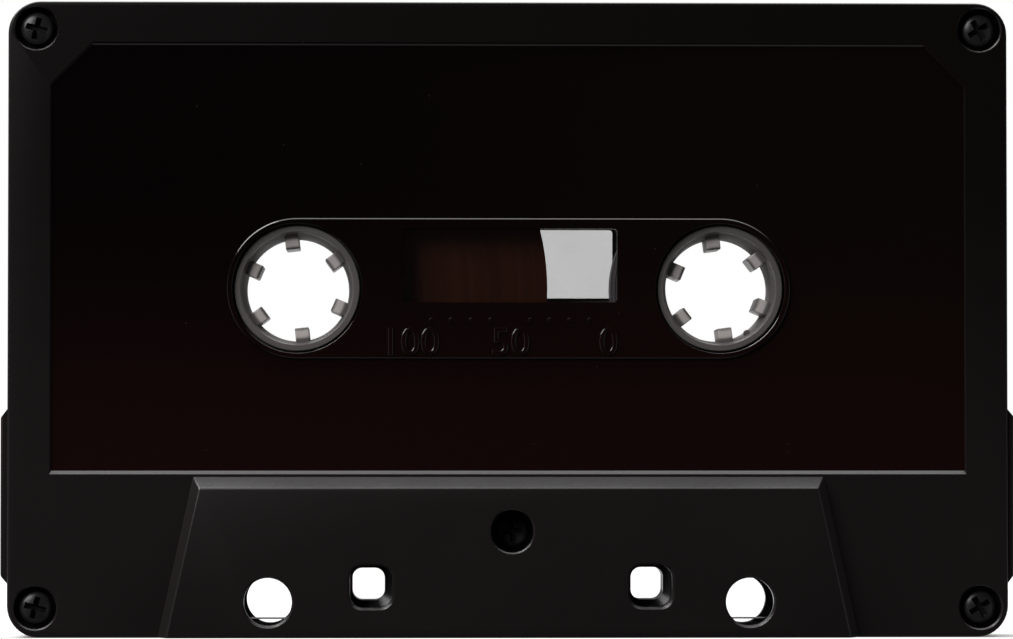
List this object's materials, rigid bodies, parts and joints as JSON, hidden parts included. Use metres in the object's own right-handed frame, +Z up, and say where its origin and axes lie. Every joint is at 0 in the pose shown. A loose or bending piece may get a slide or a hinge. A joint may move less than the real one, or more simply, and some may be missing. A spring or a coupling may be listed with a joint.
{
  "type": "compact audio cassette",
  "caption": "Flat rectangular tape cassette: two screwed housing halves with windows, toothed reel hubs, tape packs, guide rollers and a sprung pressure pad at the open tape edge.",
  "frame": {"origin": "middle of the tape edge, on the surface that the cassette stands on", "axes": "+X across the cassette to the right seen from the front, +Y through its thickness away from the front (screw) side, +Z up from the tape edge"},
  "size_m": [0.1024, 0.012, 0.0638],
  "materials": {
    "housing": "moulded black, glossy in the sunken label area and finely textured on its border",
    "window": "clear",
    "slip_sheet": "smoky film",
    "hub": "satin mid grey",
    "tape": "dark brown oxide",
    "roller": "satin white-grey",
    "steel": "ground",
    "screw": "black oxide",
    "felt": "felt",
    "bronze": "spring bronze",
    "shield": "dull grey"
  },
  "bodies": {
    "housing": {"front_shell": "housing", "rear_shell": "housing", "front_window": "window", "rear_window": "window", "front_slip_sheet": "slip_sheet", "rear_slip_sheet": "slip_sheet", "screw_top_left": "screw", "screw_top_right": "screw", "screw_bottom_left": "screw", "screw_bottom_right": "screw", "screw_middle": "screw", "tape_run": "tape", "left_roller_pin": "steel", "right_roller_pin": "steel", "pressure_spring": "bronze", "magnetic_shield": "shield"},
    "left_reel": {"left_hub": "hub", "left_hub_clip": "hub", "left_tape_pack": "tape"},
    "right_reel": {"right_hub": "hub", "right_hub_clip": "hub", "right_tape_pack": "tape"},
    "left_roller": {"left_guide_roller": "roller"},
    "right_roller": {"right_guide_roller": "roller"},
    "pad": {"pressure_pad": "felt"}
  },
  "joints": [
    {"name": "left_reel_spin", "type": "hinge", "parent": "housing", "child": "left_reel", "pos_m": [-0.02125, 0, 0.035], "axis": [0, -1, 0], "continuous": true},
    {"name": "right_reel_spin", "type": "hinge", "parent": "housing", "child": "right_reel", "pos_m": [0.02125, 0, 0.035], "axis": [0, -1, 0], "continuous": true},
    {"name": "left_roller_spin", "type": "hinge", "parent": "housing", "child": "left_roller", "pos_m": [-0.0407, 0, 0.00535], "axis": [0, -1, 0], "continuous": true},
    {"name": "right_roller_spin", "type": "hinge", "parent": "housing", "child": "right_roller", "pos_m": [0.0407, 0, 0.00535], "axis": [0, -1, 0], "continuous": true},
    {"name": "pad_press", "type": "slide", "parent": "housing", "child": "pad", "axis": [0, 0, 1], "range_m": [0, 0.0008], "stiffness_N_per_m": 200, "deforming": ["pressure_spring"]}
  ],
  "couplings": [
    {"joint": "right_reel_spin", "follows": "left_reel_spin", "ratio": 2.2909},
    {"joint": "left_roller_spin", "follows": "left_reel_spin", "ratio": 7.6364},
    {"joint": "right_roller_spin", "follows": "left_reel_spin", "ratio": 7.6364}
  ]
}
